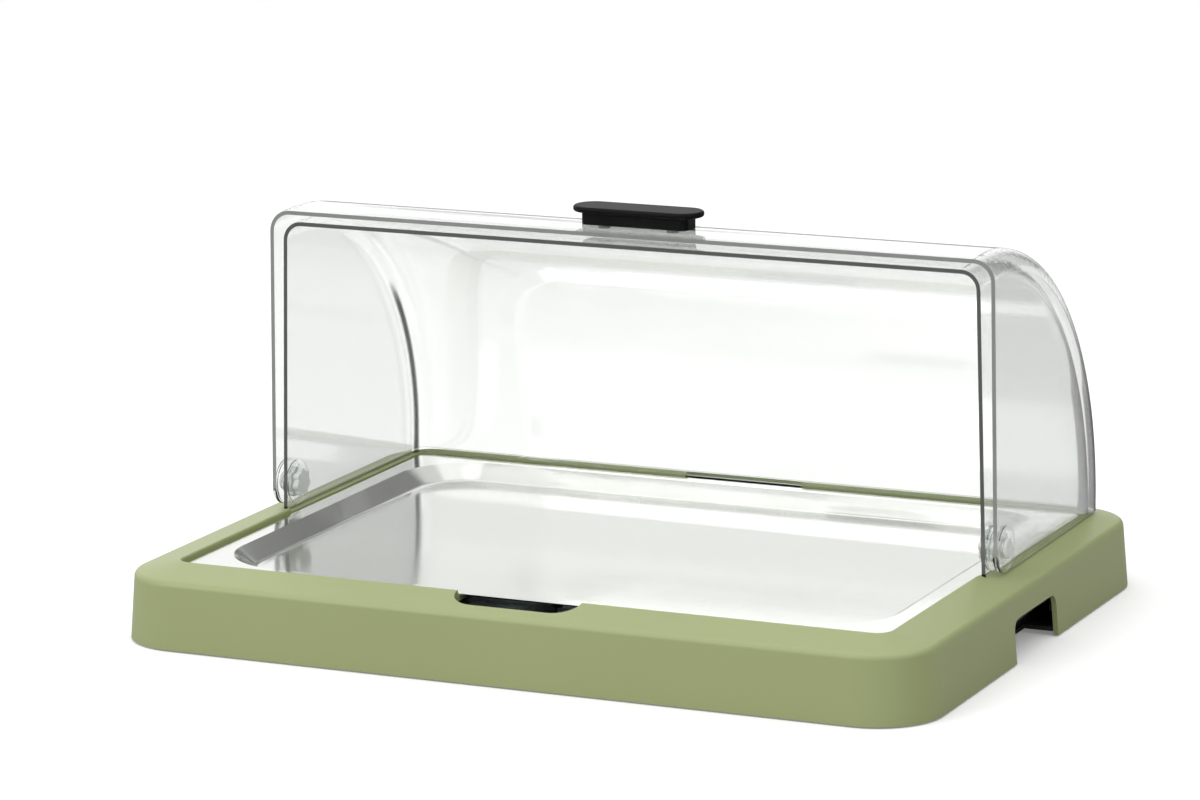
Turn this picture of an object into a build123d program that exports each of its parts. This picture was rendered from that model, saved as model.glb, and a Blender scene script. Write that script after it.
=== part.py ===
# Chilled display case for a counter: a serving tray in a moulded base that
# holds two cold packs, under a clear roll-top hood made of two nested shells.
# Frame: origin under the middle of the base, on the surface that it stands on.
# +X runs to the right along the long side, +Y to the back and +Z up, in mm.
# The front shell of the hood is modelled open, rolled back over the rear one.
import os
from math import atan2, hypot, radians, sqrt, tan

from build123d import *

# Serving tray, pressed from steel sheet
TRAY_LENGTH = 440.0
TRAY_WIDTH = 320.0
TRAY_SHEET = 0.8
TRAY_CORNER = 8.0
TRAY_FLANGE = 11.0
WELL_DEPTH = 8.6
WELL_SLOPE = 13.0
WELL_CORNER = 45.0
WELL_BEND = 5.0

# Base shell, a moulded frame that is open underneath
STANDOFF = 1.0
BASE_HEIGHT = 45.8
RIM_WIDTH = 30.5
RIM_FALL = 6.2
SKIRT_DRAFT = 3.1
EDGE_RADIUS = 4.0
LIP_RADIUS = 1.0
WALL = 3.0
LEDGE_GAP = 1.2
LEDGE_CORNER = 20.0
FLANGE_DROP = 3.0
OPENING_CORNER = 9.0
TRAY_CLEARANCE = 2.0
REST_GAP = 0.2

# Openings in the base shell
SCOOP_LENGTH = 78.0
SCOOP_DEPTH = 16.5
SCOOP_CORNER = 15.0
NOTCH_LENGTH = 70.0
NOTCH_HEIGHT = 25.0
NOTCH_CORNER = 7.0
NOTCH_POCKET = 21.0
REBATE_CLEARANCE = 0.8
REBATE_DEPTH = 2.4

# Underside: plate, foam sheet, screws and feet
PLATE_RECESS = 2.0
PLATE_THICKNESS = 2.5
PLATE_CLEARANCE = 0.8
FOAM_THICKNESS = 2.0
POST_RADIUS = 4.5
POST_END_GAP = 12.0
POST_INSET = 15.0
SCREW_RADIUS = 1.45
SCREW_HEAD_RADIUS = 3.3
SCREW_HEAD_HEIGHT = 1.6
SCREW_LENGTH = 14.0
FOOT_RADIUS = 11.0
FOOT_STEM_RADIUS = 4.0
FOOT_END_INSET = 67.5
FOOT_SIDE_INSET = 57.5
SCREW_FIT = 0.05
SCREW_HOLE_FIT = 0.4

# Cooling tub and its two cold packs
TUB_WALL = 2.5
TUB_SIDE_MARGIN = 3.0
TUB_END_MARGIN = 18.0
TUB_CORNER = 24.0
RIB_HEIGHT = 12.0
PACK_SPLIT = 8.0
PACK_SIDE_CLEARANCE = 10.2
PACK_END_CLEARANCE = 15.2
PACK_WALL = 1.6
PACK_CORNER = 18.0
PACK_EDGE = 4.0
CAP_RADIUS = 13.0
CAP_HEIGHT = 3.0
CAP_INSET = 34.0
CAP_NECK_RADIUS = 9.0
PACK_RIB_GAP = 1.5

# Hood: two shells, each a part of a drum along X with flat, leaning ends
PIVOT_HEIGHT = 60.0
AXIS_SETBACK = 4.4
HOOD_WALL = 2.4
HOOD_BACK_OVERLAP = 2.7
HOOD_SIDE_OVERLAP = 4.5
RADIAL_GAP = 4.1
SIDE_GAP = 4.8
FRONT_LEAN = (0.85, 0.85)
FRONT_CORNER = 13.0
FRONT_EDGE_OFFSET = 14.0
REAR_LEAN = (0.0, 1.4)
REAR_CORNER = 11.8
REAR_EDGE_OFFSET = 13.8
REAR_FOOT_CORNER = 3.0

# Pivots between the two shells
BOSS_RADIUS = 13.5
BOSS_STEP = 0.3
PIN_RADIUS = 4.0
PIN_FIT = 0.08
PIN_HEAD_RADIUS = 5.8
PIN_HEAD_HEIGHT = 1.8
TURN_GAP = 0.3
HUB_CORE_RADIUS = 7.6
HUB_LOBE_RADIUS = 2.5
HUB_LOBE_CIRCLE = 6.75
HUB_LOBES = 7
KNOB_CORE_RADIUS = 7.0
KNOB_LOBE_RADIUS = 2.2
KNOB_LOBE_CIRCLE = 6.3
KNOB_HEIGHT = 3.4

# Handle on the front shell
HANDLE_LENGTH = 82.0
HANDLE_WIDTH = 25.0
HANDLE_PLATE = 3.6
HANDLE_EDGE = 1.5
STEM_LENGTH = 68.0
STEM_WIDTH = 17.5
STEM_HEIGHT = 7.4
STEM_CORNER = 4.0
HANDLE_SETBACK = 25.0
HANDLE_SCREW_SPACING = 44.0
HANDLE_SCREW_RADIUS = 1.75
HANDLE_SCREW_HEAD_RADIUS = 3.6
HANDLE_SCREW_HEAD_HEIGHT = 1.5
HANDLE_SCREW_LENGTH = 9.0
SEAT_GAP = 0.05

# Places that several pieces share
OPENING_LENGTH = TRAY_LENGTH + 2 * TRAY_CLEARANCE
OPENING_WIDTH = TRAY_WIDTH + 2 * TRAY_CLEARANCE
BASE_LENGTH = OPENING_LENGTH + 2 * RIM_WIDTH
BASE_WIDTH = OPENING_WIDTH + 2 * RIM_WIDTH
RIM_TOP = STANDOFF + BASE_HEIGHT
FLANGE_TOP = RIM_TOP - FLANGE_DROP
LEDGE_WIDTH = TRAY_CLEARANCE + TRAY_FLANGE - LEDGE_GAP
LEDGE_TOP = FLANGE_TOP - TRAY_SHEET - REST_GAP
LEDGE_BOTTOM = LEDGE_TOP - WALL
MOUTH_LENGTH = OPENING_LENGTH - 2 * LEDGE_WIDTH
MOUTH_WIDTH = OPENING_WIDTH - 2 * LEDGE_WIDTH
REBATE_FLOOR = RIM_TOP - REBATE_DEPTH
PLATE_BOTTOM = STANDOFF + PLATE_RECESS
PLATE_TOP = PLATE_BOTTOM + PLATE_THICKNESS
TUB_BOTTOM = PLATE_TOP + FOAM_THICKNESS
TUB_FLOOR = TUB_BOTTOM + TUB_WALL
TUB_TOP = LEDGE_BOTTOM - REST_GAP
TUB_LENGTH = OPENING_LENGTH + 2 * TUB_SIDE_MARGIN
TUB_WIDTH = OPENING_WIDTH + 2 * TUB_END_MARGIN
PACK_BOTTOM = TUB_FLOOR + REST_GAP
PACK_TOP = FLANGE_TOP - WELL_DEPTH - TRAY_SHEET - REST_GAP
PACK_WIDTH = (MOUTH_LENGTH - PACK_SPLIT) / 2 - PACK_SIDE_CLEARANCE
PACK_LENGTH = MOUTH_WIDTH - 2 * PACK_END_CLEARANCE
PACK_X = (PACK_WIDTH + PACK_SPLIT) / 2
POST_X = OPENING_LENGTH / 2 + POST_INSET
POST_SPACING = (OPENING_WIDTH / 2 - POST_END_GAP) / 2
FOOT_X = BASE_LENGTH / 2 - FOOT_END_INSET
FOOT_Y = BASE_WIDTH / 2 - FOOT_SIDE_INSET
REAR_RADIUS = OPENING_WIDTH / 2 + HOOD_BACK_OVERLAP
REAR_HALF_WIDTH = OPENING_LENGTH / 2 + HOOD_SIDE_OVERLAP
FRONT_RADIUS = REAR_RADIUS + RADIAL_GAP + HOOD_WALL
FRONT_HALF_WIDTH = REAR_HALF_WIDTH + SIDE_GAP + HOOD_WALL
FAR = BASE_LENGTH

SIDES = {"left": -1, "right": 1}


def at_height(sketch, height):
    """A flat sketch moved up to a height."""
    return Pos(0, 0, height) * sketch


def slab(sketch, low, high):
    """A sketch extruded from one height to another."""
    return extrude(at_height(sketch, low), high - low, dir=(0, 0, 1))


def lobed_disc(core_radius, lobe_radius, lobe_circle, lobes):
    """The outline of a scalloped knob."""
    outline = Circle(core_radius)
    for place in PolarLocations(lobe_circle, lobes):
        outline += place * Circle(lobe_radius)
    return outline


def on_pivot(solid, side, distance):
    """Stand a piece made along +Z on the pivot axis, pointing outwards."""
    return Pos(side * distance, -AXIS_SETBACK, PIVOT_HEIGHT) * Rot(Y=90 * side) * solid


def base_profile():
    """Section of the rim and skirt, drawn outwards from the opening's edge."""
    crease = RIM_WIDTH - SKIRT_DRAFT
    crease_height = RIM_TOP - RIM_FALL
    fall = RIM_FALL / crease
    lean = SKIRT_DRAFT / (crease_height - STANDOFF)
    inner_corner = RIM_WIDTH - WALL - lean * (RIM_TOP - WALL - STANDOFF)
    inner_corner = inner_corner / (1 - lean * fall)
    skin = make_face(Polyline(
        (0, RIM_TOP),
        (crease, crease_height),
        (RIM_WIDTH, STANDOFF),
        (0, STANDOFF),
        close=True,
    ))
    skin = fillet(skin.vertices().sort_by(Axis.Y)[-1], LIP_RADIUS)
    skin = fillet(skin.vertices().group_by(Axis.X)[-2].sort_by(Axis.Y)[-1], EDGE_RADIUS)
    hollow = make_face(Polyline(
        (WALL, RIM_TOP - WALL - fall * WALL),
        (inner_corner, RIM_TOP - WALL - fall * inner_corner),
        (RIM_WIDTH - WALL, STANDOFF),
        (RIM_WIDTH - WALL, 0),
        (-WALL, 0),
        (-WALL, LEDGE_BOTTOM),
        (WALL, LEDGE_BOTTOM),
        close=True,
    ))
    return skin - hollow


def around_opening(profile):
    """Sweep a section around the edge of the base's opening."""
    path = RectangleRounded(OPENING_LENGTH, OPENING_WIDTH, OPENING_CORNER).wire()
    along = path % 0
    outwards = along.cross(Vector(0, 0, 1))
    if outwards.dot(path @ 0) < 0:
        outwards = -outwards
    start = Plane(origin=path @ 0, x_dir=outwards, z_dir=outwards.cross(Vector(0, 0, 1)))
    return sweep(start * profile, path=path)


def post_places():
    """Where the posts for the underside's screws stand."""
    return [
        (side * POST_X, row * POST_SPACING)
        for side in SIDES.values()
        for row in (-2, -1, 1, 2)
    ]


def scoop_cutter(low, high):
    """The two finger scoops in the front and back edges of the opening."""
    reach = SCOOP_DEPTH + LEDGE_WIDTH
    outline = RectangleRounded(SCOOP_LENGTH, 2 * reach, SCOOP_CORNER)
    scoops = Sketch()
    for side in (-1, 1):
        middle = side * (OPENING_WIDTH / 2 + SCOOP_DEPTH - reach)
        scoops += Pos(0, middle) * outline
    keep_out = Rectangle(OPENING_LENGTH, MOUTH_WIDTH - 2 * REST_GAP)
    return slab(scoops - keep_out, low, high)


def notch_cutter(top, depth):
    """The hand notches in the two ends of the skirt."""
    outline = RectangleRounded(NOTCH_LENGTH, 2 * top, NOTCH_CORNER)
    cutter = Part()
    for side in SIDES.values():
        wall = Plane(origin=(side * FAR, 0, 0), x_dir=(0, 1, 0), z_dir=(side, 0, 0))
        cutter += extrude(wall * outline, -side * (FAR - BASE_LENGTH / 2 + depth), dir=(1, 0, 0))
    return cutter


def rebate_outline():
    """Plan of the rebate that takes the foot of the hood's fixed shell."""
    drop = PIVOT_HEIGHT - REBATE_FLOOR
    lean = tan(radians(REAR_LEAN[1]))
    half_length = REAR_HALF_WIDTH + drop * lean + REBATE_CLEARANCE
    half_width = sqrt(REAR_RADIUS ** 2 - drop ** 2) + REBATE_CLEARANCE
    front_end = AXIS_SETBACK + REAR_EDGE_OFFSET + REBATE_CLEARANCE
    outline = RectangleRounded(2 * half_length, 2 * half_width, REAR_CORNER + REBATE_CLEARANCE)
    return outline - Pos(0, -front_end - half_width) * Rectangle(BASE_LENGTH, 2 * half_width)


def base_shell():
    """Rim, skirt and the ledge that carries the tray."""
    shell = around_opening(base_profile())
    ledge = RectangleRounded(
        OPENING_LENGTH + 2 * WALL, OPENING_WIDTH + 2 * WALL, OPENING_CORNER + WALL)
    ledge -= RectangleRounded(MOUTH_LENGTH, MOUTH_WIDTH, LEDGE_CORNER)
    shell += slab(ledge, LEDGE_BOTTOM, LEDGE_TOP)
    post_top = RIM_TOP - WALL - RIM_FALL * POST_INSET / RIM_WIDTH + WALL / 2
    for x, y in post_places():
        shell += Pos(x, y) * slab(Circle(POST_RADIUS), PLATE_TOP, post_top)
        bore_top = PLATE_TOP + SCREW_LENGTH
        shell -= Pos(x, y) * slab(Circle(SCREW_RADIUS + SCREW_FIT), PLATE_TOP, bore_top)
    shell -= slab(rebate_outline(), REBATE_FLOOR, RIM_TOP + WALL)
    shell -= scoop_cutter(LEDGE_BOTTOM - WALL, RIM_TOP + WALL)
    shell -= notch_cutter(STANDOFF + NOTCH_HEIGHT, RIM_WIDTH / 2)
    return shell


def serving_tray():
    """Flat flange around a shallow well with sloping sides."""
    lean = atan2(WELL_DEPTH, WELL_SLOPE)
    spread = TRAY_SHEET * tan(lean / 2)
    well_length = TRAY_LENGTH - 2 * TRAY_FLANGE
    well_width = TRAY_WIDTH - 2 * TRAY_FLANGE
    floor_corner = WELL_CORNER - WELL_SLOPE

    def well(top, grow):
        wide = RectangleRounded(well_length + grow, well_width + grow, WELL_CORNER + grow / 2)
        narrow = RectangleRounded(
            well_length - 2 * WELL_SLOPE + grow,
            well_width - 2 * WELL_SLOPE + grow,
            floor_corner + grow / 2,
        )
        body = loft([at_height(narrow, top - WELL_DEPTH), at_height(wide, top)], ruled=True)
        return body

    under = FLANGE_TOP - TRAY_SHEET
    tray = slab(RectangleRounded(TRAY_LENGTH, TRAY_WIDTH, TRAY_CORNER), under, FLANGE_TOP)
    tray += well(under, 2 * spread)
    floor = under - WELL_DEPTH
    tray = fillet(tray.edges().filter_by_position(Axis.Z, floor, floor), WELL_BEND + TRAY_SHEET)
    hollow = well(FLANGE_TOP, 0)
    low = FLANGE_TOP - WELL_DEPTH
    hollow = fillet(hollow.edges().filter_by_position(Axis.Z, low, low), WELL_BEND)
    return tray - hollow


def cooling_tub():
    """Insulated tub under the tray, with a turned-in top and ribs for the packs."""
    outside = RectangleRounded(TUB_LENGTH, TUB_WIDTH, TUB_CORNER)
    inside = RectangleRounded(
        TUB_LENGTH - 2 * TUB_WALL, TUB_WIDTH - 2 * TUB_WALL, TUB_CORNER - TUB_WALL)
    mouth = RectangleRounded(MOUTH_LENGTH, MOUTH_WIDTH, LEDGE_CORNER)
    tub = slab(outside, TUB_BOTTOM, TUB_TOP)
    tub -= slab(inside, TUB_FLOOR, TUB_TOP - TUB_WALL)
    tub -= slab(mouth, TUB_FLOOR, TUB_TOP)
    tub -= scoop_cutter(TUB_TOP - 2 * TUB_WALL, TUB_TOP + WALL)
    rib_top = TUB_FLOOR + RIB_HEIGHT
    divider = Rectangle(PACK_SPLIT - 2 * PACK_RIB_GAP, PACK_LENGTH / 2)
    stop_y = PACK_LENGTH / 2 + PACK_RIB_GAP + TUB_WALL / 2
    stop_x = PACK_X + PACK_WIDTH / 2 + PACK_RIB_GAP + TUB_WALL / 2
    ribs = divider
    for side in (-1, 1):
        ribs += Pos(side * stop_x, 0) * Rectangle(TUB_WALL, PACK_LENGTH / 2)
        for pack in (-1, 1):
            ribs += Pos(pack * PACK_X, side * stop_y) * Rectangle(PACK_WIDTH / 2, TUB_WALL)
    return tub + slab(ribs, TUB_FLOOR, rib_top)


def insulation_sheet():
    """Foam sheet between the tub and the bottom plate."""
    return slab(RectangleRounded(TUB_LENGTH, TUB_WIDTH, TUB_CORNER), PLATE_TOP, TUB_BOTTOM)


def bottom_plate():
    """Plate that closes the underside, cut back at the hand notches."""
    length = BASE_LENGTH - 2 * WALL - 2 * PLATE_CLEARANCE
    width = BASE_WIDTH - 2 * WALL - 2 * PLATE_CLEARANCE
    corner = OPENING_CORNER + RIM_WIDTH - WALL - PLATE_CLEARANCE
    plate = slab(RectangleRounded(length, width, corner), PLATE_BOTTOM, PLATE_TOP)
    plate -= notch_cutter(STANDOFF + NOTCH_HEIGHT, NOTCH_POCKET)
    for x, y in post_places():
        plate -= Pos(x, y) * slab(Circle(SCREW_RADIUS + SCREW_HOLE_FIT), 0, TUB_BOTTOM)
    for x, y in foot_places().values():
        plate -= Pos(x, y) * slab(Circle(FOOT_STEM_RADIUS + SCREW_FIT), 0, TUB_BOTTOM)
    return plate


def bottom_plate_screws():
    """Pan-head screws that hold the bottom plate to the posts."""
    screws = Part()
    for x, y in post_places():
        head = slab(Circle(SCREW_HEAD_RADIUS), PLATE_BOTTOM - SCREW_HEAD_HEIGHT, PLATE_BOTTOM)
        head = fillet(head.edges().sort_by(Axis.Z)[0], SCREW_HEAD_HEIGHT / 2)
        shank = slab(Circle(SCREW_RADIUS), PLATE_BOTTOM, PLATE_BOTTOM + SCREW_LENGTH)
        screws += Pos(x, y) * (head + shank)
    return screws


def foot_places():
    """Name and place of each rubber foot."""
    return {
        "foot_front_left": (-FOOT_X, -FOOT_Y),
        "foot_front_right": (FOOT_X, -FOOT_Y),
        "foot_back_left": (-FOOT_X, FOOT_Y),
        "foot_back_right": (FOOT_X, FOOT_Y),
    }


def rubber_foot():
    """Round foot with a stem that snaps into the bottom plate."""
    disc = slab(Circle(FOOT_RADIUS), 0, PLATE_BOTTOM)
    disc = fillet(disc.edges().sort_by(Axis.Z)[0], PLATE_BOTTOM / 3)
    return disc + slab(Circle(FOOT_STEM_RADIUS), PLATE_BOTTOM, PLATE_TOP)


def pack_outline(shrink):
    """Plan of a cold pack, less a wall where it is hollow."""
    return RectangleRounded(
        PACK_WIDTH - 2 * shrink, PACK_LENGTH - 2 * shrink, PACK_CORNER - shrink)


def cap_place():
    """Where the filler cap stands on a pack, from the pack's middle."""
    return (0, PACK_LENGTH / 2 - CAP_INSET)


def cold_pack_shell():
    """Blow-moulded bottle with a sunk filler neck."""
    shell = slab(pack_outline(0), PACK_BOTTOM, PACK_TOP)
    shell = fillet(shell.edges().filter_by(GeomType.LINE).filter_by(Axis.Z, reverse=True), PACK_EDGE)
    shell -= cold_pack_room(0)
    x, y = cap_place()
    shell -= Pos(x, y) * slab(
        Circle(CAP_RADIUS + PACK_WALL), PACK_TOP - CAP_HEIGHT - REST_GAP, PACK_TOP)
    seat = PACK_TOP - CAP_HEIGHT - REST_GAP
    neck = slab(Circle(CAP_RADIUS + 2 * PACK_WALL), seat - PACK_WALL, PACK_TOP)
    neck -= slab(Circle(CAP_RADIUS + PACK_WALL), seat, PACK_TOP)
    shell += Pos(x, y) * neck
    return shell - Pos(x, y) * slab(Circle(CAP_NECK_RADIUS), seat - PACK_WALL, seat)


def cold_pack_room(gap):
    """Inside of a cold pack's bottle, with a gap all round."""
    room = slab(
        pack_outline(PACK_WALL + gap), PACK_BOTTOM + PACK_WALL + gap, PACK_TOP - PACK_WALL - gap)
    return fillet(
        room.edges().filter_by(GeomType.LINE).filter_by(Axis.Z, reverse=True),
        PACK_EDGE - PACK_WALL)


def coolant():
    """The gel that fills a cold pack, clear of its cap's neck."""
    gel = cold_pack_room(SEAT_GAP)
    x, y = cap_place()
    seat = PACK_TOP - CAP_HEIGHT - REST_GAP - PACK_WALL
    neck = slab(Circle(CAP_RADIUS + 2 * PACK_WALL + SEAT_GAP), seat - SEAT_GAP, PACK_TOP)
    return gel - Pos(x, y) * neck


def cold_pack_cap():
    """Screw cap with a ribbed edge, level with the top of the bottle."""
    seat = PACK_TOP - CAP_HEIGHT - REST_GAP
    grip = lobed_disc(CAP_RADIUS - SEAT_GAP, PACK_WALL, CAP_RADIUS - PACK_WALL, HUB_LOBES)
    cap = slab(grip & Circle(CAP_RADIUS), seat, seat + CAP_HEIGHT)
    thread = slab(Circle(CAP_NECK_RADIUS - SEAT_GAP), seat - PACK_WALL, seat)
    x, y = cap_place()
    return Pos(x, y) * (cap + thread)


def end_slopes(lean):
    """How much a leaning end comes in for each mm to the back and up."""
    return [tan(radians(angle)) for angle in lean]


def barrel(radius, half_width, lean, corner):
    """Solid drum about the X axis with leaning ends and rounded corners."""
    drum = Rot(Y=90) * slab(Circle(radius), -FAR, FAR)
    for side in SIDES.values():
        end = Plane(origin=(side * half_width, 0, 0), z_dir=(side, *end_slopes(lean)))
        drum = split(drum, bisect_by=end, keep=Keep.BOTTOM)
    return fillet(drum.edges().filter_by(GeomType.ELLIPSE), corner)


def hood_region(edge_offset, low_edge, corner):
    """The quarter that a shell fills behind and above its edges."""
    front = -AXIS_SETBACK - edge_offset
    region = Plane.YZ * make_face(Polyline(
        (front, low_edge), (FAR, low_edge), (FAR, FAR), (front, FAR), close=True))
    block = extrude(region, FAR, both=True)
    edge = block.edges().filter_by(Axis.X).sort_by(Axis.Y)[:2].sort_by(Axis.Z)[0]
    return fillet(edge, corner)


def boss_faces(half_width, lean):
    """Distances of a boss's flat inner and outer faces from the middle."""
    back, up = end_slopes(lean)
    panel = half_width + AXIS_SETBACK * back
    reach = BOSS_RADIUS * hypot(back, up) + BOSS_STEP
    return panel - HOOD_WALL - reach, panel + reach


def hood_shell(radius, half_width, lean, corner, region):
    """A shell about the drum's axis, with a boss at each pivot."""
    skin = barrel(radius, half_width, lean, corner)
    skin -= barrel(radius - HOOD_WALL, half_width - HOOD_WALL, lean, corner - HOOD_WALL)
    shell = skin & region
    inner, outer = boss_faces(half_width, lean)
    for side in SIDES.values():
        disc = slab(Circle(BOSS_RADIUS), inner, outer)
        shell += Pos(0, -AXIS_SETBACK) * Rot(Y=90 * side) * disc
    return shell - Pos(0, -AXIS_SETBACK) * Rot(Y=90) * slab(Circle(PIN_RADIUS + PIN_FIT), -FAR, FAR)


def rear_hood():
    """Fixed shell that stands in the rebate of the base's rim."""
    low_edge = REBATE_FLOOR + REST_GAP - PIVOT_HEIGHT
    region = hood_region(REAR_EDGE_OFFSET, low_edge, REAR_FOOT_CORNER)
    shell = hood_shell(REAR_RADIUS, REAR_HALF_WIDTH, REAR_LEAN, REAR_CORNER, region)
    return Pos(0, 0, PIVOT_HEIGHT) * shell


def front_hood():
    """Moving shell, which turns about the pivots over the rear one."""
    region = hood_region(FRONT_EDGE_OFFSET, -FRONT_EDGE_OFFSET, FRONT_EDGE_OFFSET - SEAT_GAP)
    shell = hood_shell(FRONT_RADIUS, FRONT_HALF_WIDTH, FRONT_LEAN, FRONT_CORNER, region)
    for x in handle_screw_places():
        hole = slab(Circle(HANDLE_SCREW_RADIUS + SEAT_GAP), FRONT_RADIUS / 2, FAR)
        shell -= Pos(x, handle_middle()) * hole
    return Pos(0, 0, PIVOT_HEIGHT) * shell


def pivot_hub(side):
    """Scalloped spacer between the two shells."""
    inner = boss_faces(REAR_HALF_WIDTH, REAR_LEAN)[1]
    outer = boss_faces(FRONT_HALF_WIDTH, FRONT_LEAN)[0] - TURN_GAP
    outline = lobed_disc(HUB_CORE_RADIUS, HUB_LOBE_RADIUS, HUB_LOBE_CIRCLE, HUB_LOBES)
    hub = slab(outline - Circle(PIN_RADIUS + PIN_FIT), 0, outer - inner)
    return on_pivot(hub, side, inner)


def pivot_pin(side):
    """Round pin whose domed head shows outside the hood."""
    seat = boss_faces(FRONT_HALF_WIDTH, FRONT_LEAN)[1] + TURN_GAP
    end = boss_faces(REAR_HALF_WIDTH, REAR_LEAN)[0] - KNOB_HEIGHT + HOOD_WALL / 2
    head = slab(Circle(PIN_HEAD_RADIUS), 0, PIN_HEAD_HEIGHT)
    head = fillet(head.edges().sort_by(Axis.Z)[-1], PIN_HEAD_HEIGHT / 2)
    shank = slab(Circle(PIN_RADIUS), end - seat, 0)
    return on_pivot(head + shank, side, seat)


def pivot_knob(side):
    """Scalloped nut on the inner end of the pin."""
    face = boss_faces(REAR_HALF_WIDTH, REAR_LEAN)[0]
    outline = lobed_disc(KNOB_CORE_RADIUS, KNOB_LOBE_RADIUS, KNOB_LOBE_CIRCLE, HUB_LOBES)
    knob = slab(outline, -KNOB_HEIGHT, 0)
    bore = slab(Circle(PIN_RADIUS + SEAT_GAP), -KNOB_HEIGHT + HOOD_WALL / 2, 0)
    return on_pivot(knob - bore, side, face)


def handle_middle():
    """How far the handle's middle lies behind the drum's axis."""
    return HANDLE_SETBACK - FRONT_EDGE_OFFSET - AXIS_SETBACK


def handle_screw_places():
    """Where the handle's screws stand along X."""
    return (-HANDLE_SCREW_SPACING / 2, HANDLE_SCREW_SPACING / 2)


def handle_top():
    """Height of the handle's top above the drum's axis."""
    rise = sqrt(FRONT_RADIUS ** 2 - handle_middle() ** 2)
    return rise + STEM_HEIGHT + HANDLE_PLATE


def handle_grip():
    """Long plate on a stem whose foot follows the shell."""
    top = handle_top()
    plate = slab(SlotOverall(HANDLE_LENGTH, HANDLE_WIDTH), top - HANDLE_PLATE, top)
    plate = fillet(plate.edges().group_by(Axis.Z)[-1], HANDLE_EDGE)
    plate = fillet(plate.edges().group_by(Axis.Z)[0], HANDLE_EDGE)
    stem = slab(
        RectangleRounded(STEM_LENGTH, STEM_WIDTH, STEM_CORNER),
        top - HANDLE_PLATE - 2 * STEM_HEIGHT, top - HANDLE_EDGE)
    grip = Pos(0, handle_middle()) * (plate + stem)
    grip -= Rot(Y=90) * slab(Circle(FRONT_RADIUS + SEAT_GAP), -FAR, FAR)
    bore_top = FRONT_RADIUS - HOOD_WALL + HANDLE_SCREW_LENGTH + SEAT_GAP
    for x in handle_screw_places():
        bore = slab(Circle(HANDLE_SCREW_RADIUS + SEAT_GAP), 0, bore_top)
        grip -= Pos(x, handle_middle()) * bore
    return Pos(0, 0, PIVOT_HEIGHT) * grip


def handle_screws():
    """Flat-headed screws driven from inside the front shell."""
    inside = FRONT_RADIUS - HOOD_WALL
    head_top = sqrt(inside ** 2 - (handle_middle() + HANDLE_SCREW_HEAD_RADIUS) ** 2) - SEAT_GAP
    screws = Part()
    for x in handle_screw_places():
        head = slab(Circle(HANDLE_SCREW_HEAD_RADIUS), head_top - HANDLE_SCREW_HEAD_HEIGHT, head_top)
        shank = slab(Circle(HANDLE_SCREW_RADIUS), head_top, inside + HANDLE_SCREW_LENGTH)
        screws += Pos(x, handle_middle(), PIVOT_HEIGHT) * (head + shank)
    return screws


def pieces():
    """Every piece of the case under its name."""
    made = {
        "base_shell": base_shell(),
        "serving_tray": serving_tray(),
        "cooling_tub": cooling_tub(),
        "insulation_sheet": insulation_sheet(),
        "bottom_plate": bottom_plate(),
        "bottom_plate_screws": bottom_plate_screws(),
        "rear_hood": rear_hood(),
        "front_hood": front_hood(),
        "handle_grip": handle_grip(),
        "handle_screws": handle_screws(),
    }
    foot = rubber_foot()
    for name, (x, y) in foot_places().items():
        made[name] = Pos(x, y) * foot
    pack = {"shell": cold_pack_shell(), "coolant": coolant(), "cap": cold_pack_cap()}
    for name, side in SIDES.items():
        for piece, solid in pack.items():
            made[f"cold_pack_{piece}_{name}"] = Pos(side * PACK_X) * solid
        made[f"pivot_hub_{name}"] = pivot_hub(side)
        made[f"pivot_pin_{name}"] = pivot_pin(side)
        made[f"pivot_knob_{name}"] = pivot_knob(side)
    return made


os.makedirs("parts", exist_ok=True)
for name, piece in pieces().items():
    export_step(piece, f"parts/{name}.step")
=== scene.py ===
"""Looks of the chilled display case, put together from the feet up.

Every length is in metres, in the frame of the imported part: +X to the right
along the long side, +Y to the back and +Z up.
"""
from math import radians, tan

import bpy
from mathutils import Matrix, Vector


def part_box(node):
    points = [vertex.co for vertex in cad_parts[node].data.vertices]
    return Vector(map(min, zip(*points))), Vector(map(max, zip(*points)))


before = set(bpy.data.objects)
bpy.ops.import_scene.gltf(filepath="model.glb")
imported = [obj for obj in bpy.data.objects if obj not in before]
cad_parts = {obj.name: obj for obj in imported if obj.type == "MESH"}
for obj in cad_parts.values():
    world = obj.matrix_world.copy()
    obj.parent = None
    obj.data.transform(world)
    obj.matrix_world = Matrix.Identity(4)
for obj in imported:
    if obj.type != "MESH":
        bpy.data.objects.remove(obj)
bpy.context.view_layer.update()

# Rubber feet
# Four round feet of moulded black rubber, pressed into holes in the bottom
# plate. Their faces are matt, with the grain of a sand-blasted mould.
MM = 0.001
FLOW_WIDTH = 111.1 * MM


def linear(colour):
    """An sRGB hex colour as the linear values that a shader takes."""
    channels = [int(colour[i:i + 2], 16) / 255 for i in (1, 3, 5)]
    bright = [c / 12.92 if c <= 0.04045 else ((c + 0.055) / 1.055) ** 2.4 for c in channels]
    return (*bright, 1.0)


def add(tree, kind, sockets=None, **settings):
    """Add a node. A socket takes a value, or another node's output as a link."""
    node = tree.nodes.new(kind)
    for name, value in settings.items():
        setattr(node, name, value)
    for name, value in (sockets or {}).items():
        if isinstance(value, bpy.types.NodeSocket):
            tree.links.new(value, node.inputs[name])
        else:
            node.inputs[name].default_value = value
    return node


def start_material(name):
    """An empty node material, and the object coordinates that its patterns use."""
    material = bpy.data.materials.new(name)
    material.use_nodes = True
    tree = material.node_tree
    tree.nodes.clear()
    place = add(tree, "ShaderNodeTexCoord").outputs["Object"]
    return material, tree, place


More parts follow.
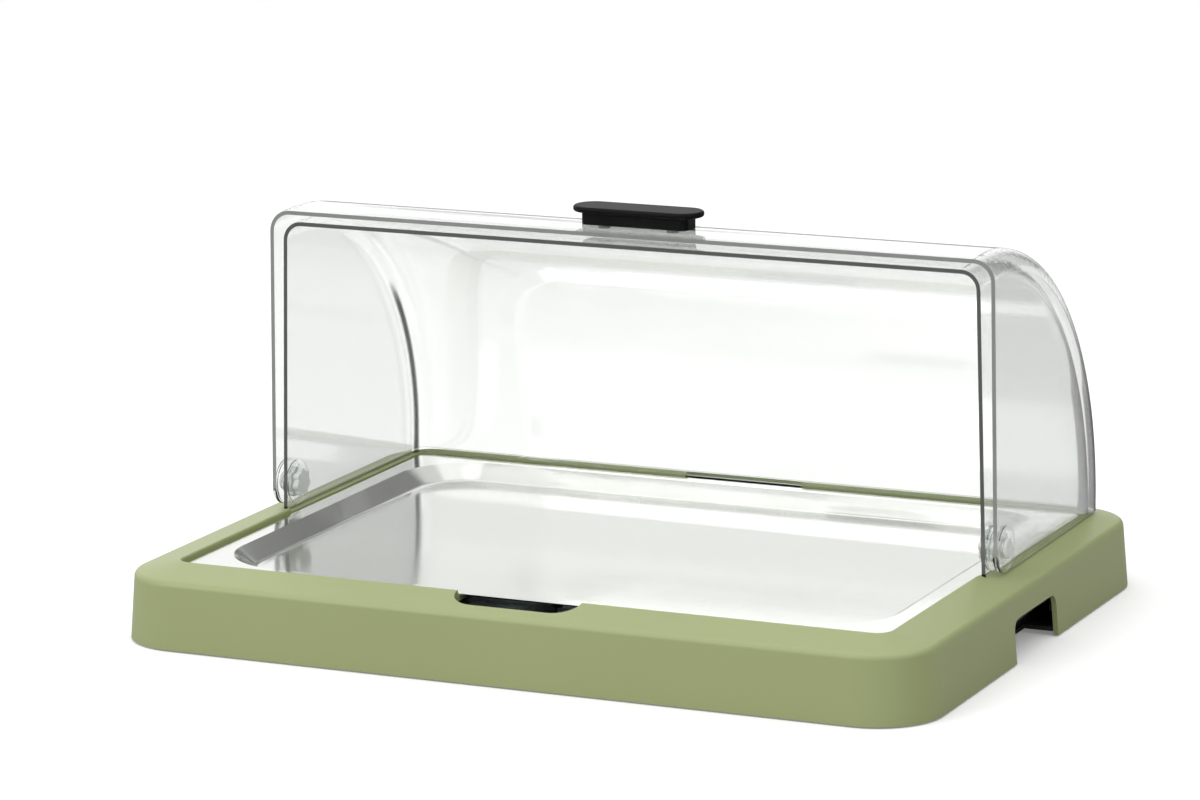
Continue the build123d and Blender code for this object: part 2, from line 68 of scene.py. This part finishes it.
def moulded_plastic(name, dark, light, roughness, grain, depth, specular=0.5):
    """Injection-moulded plastic: a fine spark-eroded grain and slight flow marks.

    grain is the size of the grain and depth its height, both in metres. The
    flow marks make the tone and the gloss uneven by a little.
    """
    material, tree, place = start_material(name)
    flow = add(tree, "ShaderNodeTexNoise", {
        "Vector": place, "Scale": 1 / FLOW_WIDTH, "Detail": 3.0})
    tone = add(tree, "ShaderNodeMix", {
        0: flow.outputs["Fac"], "A": linear(dark), "B": linear(light)}, data_type="RGBA")
    texture = add(tree, "ShaderNodeTexNoise", {
        "Vector": place, "Scale": 1 / grain, "Detail": 2.0, "Roughness": 0.6})
    bump = add(tree, "ShaderNodeBump", {
        "Height": texture.outputs["Fac"], "Strength": 0.5, "Distance": depth})
    polish = add(tree, "ShaderNodeMapRange", {
        "Value": flow.outputs["Fac"], "To Min": roughness * 0.9, "To Max": roughness * 1.1})
    shader = add(tree, "ShaderNodeBsdfPrincipled", {
        "Base Color": tone.outputs["Result"],
        "Roughness": polish.outputs["Result"],
        "IOR": 1.5,
        "Specular IOR Level": specular,
        "Normal": bump.outputs["Normal"],
    })
    add(tree, "ShaderNodeOutputMaterial", {"Surface": shader.outputs["BSDF"]})
    return material


def dress(node, material):
    """Give a carried-over node its material, as the only one on its mesh."""
    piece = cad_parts[node]
    piece.data.materials.clear()
    piece.data.materials.append(material)
    return piece


foot_rubber = moulded_plastic(
    "moulded_rubber", "#1b1b1b", "#242424", roughness=0.75, grain=0.4 * MM, depth=0.06 * MM)
for row in ("front", "back"):
    for side in ("left", "right"):
        dress(f"foot_{row}_{side}", foot_rubber)

# Bottom plate and its screws
# A flat plate of black ABS that closes the underside of the base. Zinc-plated
# pan-head screws hold it to posts inside the skirt.
PLATING_PATCH = 1.43 * MM

plate_plastic = moulded_plastic(
    "moulded_abs_plate", "#151712", "#1d1f19", roughness=0.5, grain=0.7 * MM, depth=0.05 * MM)
dress("bottom_plate", plate_plastic)


def plated_steel(name, dark, light, roughness):
    """Zinc-plated steel, a little duller in the patches where the plating is thin."""
    material, tree, place = start_material(name)
    patches = add(tree, "ShaderNodeTexNoise", {
        "Vector": place, "Scale": 1 / PLATING_PATCH, "Detail": 3.0})
    tone = add(tree, "ShaderNodeMix", {
        0: patches.outputs["Fac"], "A": linear(dark), "B": linear(light)}, data_type="RGBA")
    polish = add(tree, "ShaderNodeMapRange", {
        "Value": patches.outputs["Fac"], "To Min": roughness * 0.7, "To Max": roughness * 1.3})
    shader = add(tree, "ShaderNodeBsdfPrincipled", {
        "Base Color": tone.outputs["Result"],
        "Metallic": 1.0,
        "Roughness": polish.outputs["Result"],
    })
    add(tree, "ShaderNodeOutputMaterial", {"Surface": shader.outputs["BSDF"]})
    return material


zinc = plated_steel("zinc_plate", "#9a9c9e", "#c2c4c6", roughness=0.3)
dress("bottom_plate_screws", zinc)

# Insulation sheet
# A die-cut sheet of white closed-cell polyethylene foam between the tub and
# the plate. Its skin is dull, with cells a millimetre or so wide.


def cellular_foam(name, dark, light, cell):
    """Closed-cell foam: a dull skin dimpled by its cells."""
    material, tree, place = start_material(name)
    cells = add(tree, "ShaderNodeTexVoronoi", {"Vector": place, "Scale": 1 / cell})
    tone = add(tree, "ShaderNodeMix", {
        0: cells.outputs["Distance"], "A": linear(light), "B": linear(dark)}, data_type="RGBA")
    bump = add(tree, "ShaderNodeBump", {
        "Height": cells.outputs["Distance"], "Strength": 0.4, "Distance": cell / 10})
    shader = add(tree, "ShaderNodeBsdfPrincipled", {
        "Base Color": tone.outputs["Result"], "Roughness": 0.8, "Normal": bump.outputs["Normal"]})
    add(tree, "ShaderNodeOutputMaterial", {"Surface": shader.outputs["BSDF"]})
    return material


foam = cellular_foam("polyethylene_foam", "#c9c8c2", "#e6e5df", cell=1.2 * MM)
dress("insulation_sheet", foam)

# Cooling tub
# A vacuum-formed tub of black polypropylene, hung under the rim. Low ribs on
# its floor keep the cold packs in place. Formed sheet has a low, even gloss.
tub_plastic = moulded_plastic(
    "formed_polypropylene", "#0b0c0a", "#121310", roughness=0.42, grain=1.5 * MM, depth=0.04 * MM)
dress("cooling_tub", tub_plastic)

# Cold packs
# Two blow-moulded bottles of natural polyethylene, filled with blue gel
# through a neck that a ribbed cap closes flush with the top. The gel lies
# against the bottle's wall and takes its milky skin.
PEEL_WIDTH = 6.25 * MM
PEEL_HEIGHT = 0.1 * MM


def blown_skin(name, colour):
    """Blow-moulded polyethylene: milky, with a soft gloss and a faint orange peel."""
    material, tree, place = start_material(name)
    peel = add(tree, "ShaderNodeTexNoise", {
        "Vector": place, "Scale": 1 / PEEL_WIDTH, "Detail": 2.0})
    bump = add(tree, "ShaderNodeBump", {
        "Height": peel.outputs["Fac"], "Strength": 0.4, "Distance": PEEL_HEIGHT})
    tone = add(tree, "ShaderNodeMix", {
        0: peel.outputs["Fac"], "A": linear(colour), "B": linear("#dfe9ee")}, data_type="RGBA")
    shader = add(tree, "ShaderNodeBsdfPrincipled", {
        "Base Color": tone.outputs["Result"],
        "Roughness": 0.35,
        "IOR": 1.51,
        "Transmission Weight": 0.35,
        "Normal": bump.outputs["Normal"],
    })
    add(tree, "ShaderNodeOutputMaterial", {"Surface": shader.outputs["BSDF"]})
    return material


bottle = blown_skin("blown_polyethylene", "#cfdde4")
gel = blown_skin("coolant_gel", "#4c9fd2")
cap_plastic = moulded_plastic(
    "moulded_cap", "#17457d", "#1f5592", roughness=0.4, grain=0.5 * MM, depth=0.05 * MM)
for side in ("left", "right"):
    dress(f"cold_pack_shell_{side}", bottle)
    dress(f"cold_pack_coolant_{side}", gel)
    dress(f"cold_pack_cap_{side}", cap_plastic)

# Base shell
# One injection moulding in olive green ABS: rim, skirt and the ledge for the
# tray. A fine satin grain softens its highlights.
green = moulded_plastic(
    "moulded_abs_green", "#9aa371", "#9fa876", roughness=0.42, grain=0.6 * MM, depth=0.03 * MM)
dress("base_shell", green)

# Serving tray
# Pressed from stainless sheet and satin polished. It mirrors the walls round
# it, blurred a little along the polishing lines. FLAT_FACING and BENT_FACING are
# the upward parts of a face's direction where it counts as flat, and as bent.
POLISH_LENGTH = 167 * MM
POLISH_WIDTH = 1.11 * MM
POLISH_HEIGHT = 0.01 * MM
FLAT_FACING = 0.999
BENT_FACING = 0.96


def polished_sheet(name, dark, light, roughness, wave_size, wave_depth, wave_start):
    """Stainless sheet: fine polishing lines, and waves where pressing has bent it.

    wave_size is the width of the waves, wave_depth their height and wave_start
    the place where their pattern starts, all in metres.
    """
    material, tree, place = start_material(name)
    stretched = add(tree, "ShaderNodeMapping", {
        "Vector": place, "Scale": (1 / POLISH_LENGTH, 1 / POLISH_WIDTH, 1 / POLISH_WIDTH)})
    lines = add(tree, "ShaderNodeTexNoise", {
        "Vector": stretched.outputs["Vector"], "Scale": 1.0, "Detail": 3.0})
    tone = add(tree, "ShaderNodeMix", {
        0: lines.outputs["Fac"], "A": linear(dark), "B": linear(light)}, data_type="RGBA")
    polish = add(tree, "ShaderNodeMapRange", {
        "Value": lines.outputs["Fac"], "To Min": roughness * 0.8, "To Max": roughness * 1.2})
    facing = add(tree, "ShaderNodeTexCoord").outputs["Normal"]
    upwards = add(tree, "ShaderNodeSeparateXYZ", {"Vector": facing}).outputs["Z"]
    bent = add(tree, "ShaderNodeMapRange", {
        "Value": upwards, "From Min": BENT_FACING, "From Max": FLAT_FACING,
        "To Min": 1.0, "To Max": 0.0})
    along = add(tree, "ShaderNodeVectorMath", {0: place, 1: wave_start}, operation="SUBTRACT")
    waves = add(tree, "ShaderNodeTexNoise", {
        "Vector": along.outputs["Vector"], "Scale": 1 / wave_size, "Detail": 1.0})
    dents = add(tree, "ShaderNodeBump", {
        "Height": waves.outputs["Fac"], "Strength": bent.outputs["Result"], "Distance": wave_depth})
    bump = add(tree, "ShaderNodeBump", {
        "Height": lines.outputs["Fac"],
        "Strength": 0.05,
        "Distance": POLISH_HEIGHT,
        "Normal": dents.outputs["Normal"],
    })
    shader = add(tree, "ShaderNodeBsdfPrincipled", {
        "Base Color": tone.outputs["Result"],
        "Metallic": 1.0,
        "Roughness": polish.outputs["Result"],
        "Anisotropic": 0.3,
        "Normal": bump.outputs["Normal"],
    })
    add(tree, "ShaderNodeOutputMaterial", {"Surface": shader.outputs["BSDF"]})
    return material


steel = polished_sheet(
    "stainless_sheet", "#d6d6d3", "#e0e0dd", roughness=0.13,
    wave_size=80 * MM, wave_depth=2.2 * MM, wave_start=(0.0, -30 * MM, 0.0))
dress("serving_tray", steel)

# Hood shells
# Two nested shells moulded in clear polycarbonate, the rear one fixed in the
# rebate of the rim. They show by their cut edges, by soft reflections and by
# a grey line along each rounded corner, where the wall bends the light. The
# line is painted shade: a dark sheet mixed into the wall, wider and darker on
# the right.
# Angles are in degrees round the corner's arc, and heights of fades are above
# the axis of the two drums, which lies AXIS_HEIGHT over the floor.
POLYCARBONATE_IOR = 1.58
AXIS_HEIGHT = 60 * MM
SMEAR_WIDTH = 71.4 * MM
SMEARS_START = 0.45
SMEARS_FULL = 0.75
SMEAR_ROUGHNESS = 0.015
END_BLUR = 8
LEFT_LINE_START = 18
LEFT_LINE_END = 30
LEFT_LINE_BLUR = 8
LEFT_LINE_DEPTH = 0.45
LEFT_FADE_LOW = 86 * MM
LEFT_FADE_HIGH = 102 * MM
RIGHT_LINE_START = 6
RIGHT_LINE_BLUR = 6
RIGHT_FADE_LOW = 45 * MM
RIGHT_FADE_HIGH = 128 * MM
THINNING_LOW = 60 * MM
THINNING_HIGH = 150 * MM
THINNING = 2.2


def let_light_through(tree, shader):
    """Shadows of a clear piece stay faint, as its walls pass the lamps' light."""
    passing = add(tree, "ShaderNodeBsdfTransparent", {"Color": linear("#f2f4f2")})
    path = add(tree, "ShaderNodeLightPath")
    surface = add(tree, "ShaderNodeMixShader", {
        0: path.outputs["Is Shadow Ray"], 1: shader, 2: passing.outputs["BSDF"]})
    add(tree, "ShaderNodeOutputMaterial", {"Surface": surface.outputs["Shader"]})


def band(tree, angle, low, high, blur):
    """1 where an angle lies between two limits in degrees, fading to 0 outside them."""
    rise = add(tree, "ShaderNodeMapRange", {
        "Value": angle, "From Min": radians(low - blur), "From Max": radians(low)})
    fall = add(tree, "ShaderNodeMapRange", {
        "Value": angle, "From Min": radians(high), "From Max": radians(high + blur),
        "To Min": 1.0, "To Max": 0.0})
    return add(tree, "ShaderNodeMath", {
        0: rise.outputs["Result"], 1: fall.outputs["Result"]}, operation="MULTIPLY").outputs["Value"]


def angle_round_corner(tree, from_axis, radius, half_width, lean, corner):
    """The angle round a shell's rounded corner: 0 at its flat end, 90 at its drum.

    lean holds the degrees by which the ends lean in along Y and along Z.
    """
    mirrored = add(tree, "ShaderNodeVectorMath", {0: from_axis}, operation="ABSOLUTE")
    slopes = (1.0, tan(radians(lean[0])), tan(radians(lean[1])))
    sideways = add(tree, "ShaderNodeVectorMath", {
        0: mirrored.outputs["Vector"], 1: slopes}, operation="DOT_PRODUCT")
    across = add(tree, "ShaderNodeVectorMath", {
        0: from_axis, 1: (0.0, 1.0, 1.0)}, operation="MULTIPLY")
    reach = add(tree, "ShaderNodeVectorMath", {0: across.outputs["Vector"]}, operation="LENGTH")
    outwards = add(tree, "ShaderNodeMath", {
        0: reach.outputs["Value"], 1: radius - corner}, operation="SUBTRACT")
    endwards = add(tree, "ShaderNodeMath", {
        0: sideways.outputs["Value"], 1: half_width - corner}, operation="SUBTRACT")
    return add(tree, "ShaderNodeMath", {
        0: outwards.outputs["Value"], 1: endwards.outputs["Value"]},
        operation="ARCTAN2").outputs["Value"]


def painted_corner_shade(tree, angle, height, is_right, line_end, line_depth):
    """How much of what lies behind it the painted shade line along a rounded corner hides.

    The line is painted shade, mixed in where the bent wall looks dark. The right
    line is wide and dark, up to line_end degrees. It hides line_depth
    at its foot and thins and fades towards the top. The left line is thin and
    fades out well below that.
    """
    thinning = add(tree, "ShaderNodeMapRange", {
        "Value": height, "From Min": THINNING_LOW, "From Max": THINNING_HIGH,
        "To Min": 1.0, "To Max": THINNING})
    thinned = add(tree, "ShaderNodeMath", {
        0: angle, 1: thinning.outputs["Result"]}, operation="MULTIPLY")
    wide = band(tree, thinned.outputs["Value"], RIGHT_LINE_START, line_end, RIGHT_LINE_BLUR)
    narrow = band(tree, angle, LEFT_LINE_START, LEFT_LINE_END, LEFT_LINE_BLUR)
    line = add(tree, "ShaderNodeMix", {"Factor": is_right, "A": narrow, "B": wide})
    left_fade = add(tree, "ShaderNodeMapRange", {
        "Value": height, "From Min": LEFT_FADE_LOW, "From Max": LEFT_FADE_HIGH,
        "To Min": LEFT_LINE_DEPTH, "To Max": 0.0})
    right_fade = add(tree, "ShaderNodeMapRange", {
        "Value": height, "From Min": RIGHT_FADE_LOW, "From Max": RIGHT_FADE_HIGH,
        "To Min": line_depth, "To Max": 0.0})
    fade = add(tree, "ShaderNodeMix", {
        "Factor": is_right, "A": left_fade.outputs["Result"], "B": right_fade.outputs["Result"]})
    return add(tree, "ShaderNodeMath", {
        0: line.outputs["Result"], 1: fade.outputs["Result"]}, operation="MULTIPLY").outputs["Value"]


def clear_shell(name, radius, half_width, lean, corner, line_end, line_depth):
    """Clear polycarbonate with faint smears, and a painted grey shade line along each rounded corner.

    The shell is a drum with leaning ends. Its flat ends are painted a little grey as shade, the right
    end greyer.
    """
    material, tree, place = start_material(name)
    from_axis = add(tree, "ShaderNodeVectorMath", {
        0: place, 1: (0.0, 0.0, AXIS_HEIGHT)}, operation="SUBTRACT").outputs["Vector"]
    angle = angle_round_corner(tree, from_axis, radius, half_width, lean, corner)
    parts = add(tree, "ShaderNodeSeparateXYZ", {"Vector": from_axis})
    is_right = add(tree, "ShaderNodeMath", {
        0: parts.outputs["X"], 1: 0.0}, operation="GREATER_THAN").outputs["Value"]
    painted_shade_amount = painted_corner_shade(tree, angle, parts.outputs["Z"], is_right, line_end, line_depth)
    flat_end = add(tree, "ShaderNodeMapRange", {
        "Value": angle, "From Min": 0.0, "From Max": radians(END_BLUR),
        "To Min": 1.0, "To Max": 0.0})
    # Painted shade: the flat ends are tinted grey, the right end more.
    end_painted_shade = add(tree, "ShaderNodeMix", {
        0: is_right, "A": linear("#f1f2f1"), "B": linear("#ebeceb")}, data_type="RGBA")
    tint = add(tree, "ShaderNodeMix", {
        0: flat_end.outputs["Result"], "A": linear("#fafbfa"), "B": end_painted_shade.outputs["Result"]},
        data_type="RGBA")
    smears = add(tree, "ShaderNodeTexNoise", {
        "Vector": place, "Scale": 1 / SMEAR_WIDTH, "Detail": 4.0})
    polish = add(tree, "ShaderNodeMapRange", {
        "Value": smears.outputs["Fac"], "From Min": SMEARS_START, "From Max": SMEARS_FULL,
        "To Min": 0.0, "To Max": SMEAR_ROUGHNESS})
    clear = add(tree, "ShaderNodeBsdfPrincipled", {
        "Base Color": tint.outputs["Result"],
        "Roughness": polish.outputs["Result"],
        "IOR": POLYCARBONATE_IOR,
        "Transmission Weight": 1.0,
    })
    # Painted shade: a dark diffuse sheet, mixed into the clear wall along each rounded corner.
    shade = add(tree, "ShaderNodeBsdfDiffuse", {"Color": linear("#2c2e2b")})
    wall = add(tree, "ShaderNodeMixShader", {
        0: painted_shade_amount, 1: clear.outputs["BSDF"], 2: shade.outputs["BSDF"]})
    let_light_through(tree, wall.outputs["Shader"])
    return material


# The shells' cut edges are painted grey: a painted glow that stands for the
# light the wall carries along, painted darker on the rear shell. They are the
# faces that look straight to the front or down and lie within EDGE_REACH of
# that side.
STREAK_WIDTH = 25 * MM
EDGE_FACING = 0.98
EDGE_REACH = 1.0 * MM


def edge_with_painted_glow(name, dark, light):
    """A cut edge of polycarbonate, painted grey as a glow of carried light, with faint streaks along
    it.
    """
    material, tree, place = start_material(name)
    streaks = add(tree, "ShaderNodeTexNoise", {
        "Vector": place, "Scale": 1 / STREAK_WIDTH, "Detail": 3.0})
    tone = add(tree, "ShaderNodeMix", {
        0: streaks.outputs["Fac"], "A": linear(dark), "B": linear(light)}, data_type="RGBA")
    shader = add(tree, "ShaderNodeBsdfPrincipled", {
        "Base Color": tone.outputs["Result"],
        "Roughness": 0.3,
        "IOR": POLYCARBONATE_IOR,
        "Transmission Weight": 0.25,
    })
    let_light_through(tree, shader.outputs["BSDF"])
    return material


rear_wall = clear_shell(
    "polycarbonate_rear", radius=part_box("rear_hood")[1].z - AXIS_HEIGHT, half_width=226.5 * MM,
    lean=(0.0, 1.4), corner=11.8 * MM, line_end=78, line_depth=1.0)
front_wall = clear_shell(
    "polycarbonate_front", radius=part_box("front_hood")[1].z - AXIS_HEIGHT, half_width=233.7 * MM,
    lean=(0.85, 0.85), corner=13.0 * MM, line_end=66, line_depth=0.74)
# Painted light and shade: the rear shell's edges are painted darker than the front shell's.
rear_edge = edge_with_painted_glow("polycarbonate_edge_rear", "#4e504d", "#646663")
front_edge = edge_with_painted_glow("polycarbonate_edge_front", "#8c8e8b", "#a4a6a3")
for node, wall, edge in (("rear_hood", rear_wall, rear_edge), ("front_hood", front_wall, front_edge)):
    shell = dress(node, wall)
    shell.data.materials.append(edge)
    front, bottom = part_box(node)[0].yz
    for face in shell.data.polygons:
        is_front = face.normal.y < -EDGE_FACING and face.center.y < front + EDGE_REACH
        is_bottom = face.normal.z < -EDGE_FACING and face.center.z < bottom + EDGE_REACH
        if is_front or is_bottom:
            face.material_index = 1

# Pivots
# Scalloped spacers and nuts of clear acrylic, with round pins that join the
# two shells and let the front one turn.
FACET_WIDTH = 3.85 * MM
FACET_HEIGHT = 0.3 * MM


def milky_plastic(name, tint, roughness):
    """Clear plastic that its many small facets make look milky."""
    material, tree, place = start_material(name)
    facets = add(tree, "ShaderNodeTexNoise", {
        "Vector": place, "Scale": 1 / FACET_WIDTH, "Detail": 3.0})
    bump = add(tree, "ShaderNodeBump", {
        "Height": facets.outputs["Fac"], "Strength": 0.5, "Distance": FACET_HEIGHT})
    polish = add(tree, "ShaderNodeMapRange", {
        "Value": facets.outputs["Fac"], "To Min": roughness * 0.7, "To Max": roughness * 1.3})
    shader = add(tree, "ShaderNodeBsdfPrincipled", {
        "Base Color": linear(tint),
        "Roughness": polish.outputs["Result"],
        "IOR": 1.49,
        "Transmission Weight": 0.45,
        "Normal": bump.outputs["Normal"],
    })
    let_light_through(tree, shader.outputs["BSDF"])
    return material


clear_fitting = milky_plastic("clear_acrylic", "#f0f2f0", roughness=0.12)
for side in ("left", "right"):
    for piece in ("hub", "pin", "knob"):
        dress(f"pivot_{piece}_{side}", clear_fitting)

# Handle
# A plate on a stem, moulded in black ABS with a satin top, and fixed by two
# flat-headed screws from inside the moving shell.
handle_plastic = moulded_plastic(
    "moulded_abs_black", "#060707", "#0b0c0c", roughness=0.5, grain=0.5 * MM, depth=0.03 * MM,
    specular=0.13)
dress("handle_grip", handle_plastic)
dress("handle_screws", zinc)

# Studio
# A plain white floor that runs out of sight. It is duller where the case
# mirrors it or catches its light, so that the clear shells aren't washed out.
FLOOR_SIZE = 30.0
FLOOR_GLOW = 0.17
MOTTLE_WIDTH = 333 * MM

bpy.ops.mesh.primitive_plane_add(size=FLOOR_SIZE)
floor = bpy.context.object
floor.name = "studio_floor"
material, tree, place = start_material("floor_paper")
mottle = add(tree, "ShaderNodeTexNoise", {
    "Vector": place, "Scale": 1 / MOTTLE_WIDTH, "Detail": 2.0})
paper = add(tree, "ShaderNodeMix", {
    0: mottle.outputs["Fac"], "A": linear("#f4f4f4"), "B": linear("#f6f6f6")}, data_type="RGBA")
matt = add(tree, "ShaderNodeBsdfDiffuse", {"Color": paper.outputs["Result"]})
lit = add(tree, "ShaderNodeEmission", {"Color": linear("#ffffff"), "Strength": FLOOR_GLOW})
bright = add(tree, "ShaderNodeAddShader", {0: matt.outputs["BSDF"], 1: lit.outputs["Emission"]})
dull = add(tree, "ShaderNodeBsdfDiffuse", {"Color": linear("#b8b8b8")})
path = add(tree, "ShaderNodeLightPath")

# Light bent by a clear wall counts as glossy too, and isn't mirrored.
mirrored = add(tree, "ShaderNodeMath", {
    0: path.outputs["Is Glossy Ray"], 1: path.outputs["Is Transmission Ray"]},
    operation="SUBTRACT", use_clamp=True)
bounced = add(tree, "ShaderNodeMath", {
    0: path.outputs["Is Diffuse Ray"], 1: mirrored.outputs["Value"]}, operation="MAXIMUM")
surface = add(tree, "ShaderNodeMixShader", {
    0: bounced.outputs["Value"], 1: bright.outputs["Shader"], 2: dull.outputs["BSDF"]})
add(tree, "ShaderNodeOutputMaterial", {"Surface": surface.outputs["Shader"]})
floor.data.materials.append(material)

scene = bpy.context.scene
scene.view_settings.view_transform = "Standard"
world = bpy.data.worlds.new("studio_walls")
world.use_nodes = True
scene.world = world
tree = world.node_tree
tree.nodes.clear()

# Walls
# White to the left, above and in front, and dark grey from the middle of the
# back round to the right.
# Each number is a brightness, or the part of a direction along X, Y or Z where
# one brightness turns into the next.
LEFT_WALL = 1.0
RIGHT_WALL = 0.17
SIDES_MEET = (-0.3, 0.06)
SIDES_NEAR = 0.75
SIDES_FAR = 1.22
NEAR_TO_FAR = (-0.1, 0.9)
FRONT_WALL = 0.75
FRONT_ENDS = (-0.5, -0.1)
CEILING = 1.0
CEILING_STARTS = (0.52, 0.76)

direction = add(tree, "ShaderNodeTexCoord").outputs["Generated"]
parts = add(tree, "ShaderNodeSeparateXYZ", {"Vector": direction})
left_to_right = add(tree, "ShaderNodeMapRange", {
    "Value": parts.outputs["X"], "From Min": SIDES_MEET[0], "From Max": SIDES_MEET[1],
    "To Min": LEFT_WALL, "To Max": RIGHT_WALL}, interpolation_type="SMOOTHSTEP")
near_to_far = add(tree, "ShaderNodeMapRange", {
    "Value": parts.outputs["Y"], "From Min": NEAR_TO_FAR[0], "From Max": NEAR_TO_FAR[1],
    "To Min": SIDES_NEAR, "To Max": SIDES_FAR}, interpolation_type="SMOOTHSTEP")
above = add(tree, "ShaderNodeMapRange", {
    "Value": parts.outputs["Z"], "From Min": CEILING_STARTS[0], "From Max": CEILING_STARTS[1],
    "To Min": 0.0, "To Max": CEILING}, interpolation_type="SMOOTHSTEP")
in_front = add(tree, "ShaderNodeMapRange", {
    "Value": parts.outputs["Y"], "From Min": FRONT_ENDS[0], "From Max": FRONT_ENDS[1],
    "To Min": FRONT_WALL, "To Max": 0.0}, interpolation_type="SMOOTHSTEP")
sides = add(tree, "ShaderNodeMath", {
    0: left_to_right.outputs["Result"], 1: near_to_far.outputs["Result"]}, operation="MULTIPLY")
front_or_above = add(tree, "ShaderNodeMath", {
    0: above.outputs["Result"], 1: in_front.outputs["Result"]}, operation="MAXIMUM")
strength = add(tree, "ShaderNodeMath", {
    0: sides.outputs["Value"], 1: front_or_above.outputs["Value"]}, operation="MAXIMUM")
glow = add(tree, "ShaderNodeBackground", {
    "Color": (1.0, 1.0, 1.0, 1.0), "Strength": strength.outputs["Value"]})
add(tree, "ShaderNodeOutputWorld", {"Surface": glow.outputs["Background"]})

# Soft boxes
# A large one overhead, and one each to the front left and the right. Places
# and sizes are in metres, and power is in watts.


def soft_light(name, place, aim, size, power):
    """A square soft box at a place, turned towards a point."""
    lamp = bpy.data.lights.new(name, "AREA")
    lamp.shape = "SQUARE"
    lamp.size = size
    lamp.energy = power
    holder = bpy.data.objects.new(name, lamp)
    scene.collection.objects.link(holder)
    holder.location = place
    holder.rotation_euler = (Vector(aim) - Vector(place)).to_track_quat("-Z", "Y").to_euler()


soft_light("overhead_box", place=(0.3, 0.0, 2.2), aim=(0.0, 0.0, 0.0), size=2.4, power=12.5)
soft_light("front_box", place=(-1.3, -2.2, 1.6), aim=(0.0, 0.0, 0.1), size=1.6, power=23.0)
soft_light("right_box", place=(2.2, -1.0, 1.2), aim=(0.0, 0.0, 0.05), size=1.4, power=5.5)

# Camera
# The photograph's viewpoint: a long lens from the front right, a little above
# the hood, with a slight roll. Lens and sensor are in millimetres as Blender
# takes them, and angles in degrees.
FOCAL = 155.08
SENSOR = 36.0
AZIMUTH = 24.573
ELEVATION = 12.077
ROLL = -0.589
DISTANCE = 3060.87 * MM
TARGET = (-23.09 * MM, 0, 125.92 * MM)

turn = (Matrix.Rotation(radians(AZIMUTH), 4, "Z")
        @ Matrix.Rotation(radians(90 - ELEVATION), 4, "X")
        @ Matrix.Rotation(radians(ROLL), 4, "Z"))
lens = bpy.data.cameras.new("camera")
lens.sensor_width = SENSOR
lens.lens = FOCAL
camera = bpy.data.objects.new("camera", lens)
scene.collection.objects.link(camera)
camera.matrix_world = Matrix.Translation(
    Vector(TARGET) + turn.to_3x3() @ Vector((0, 0, DISTANCE))) @ turn
scene.camera = camera
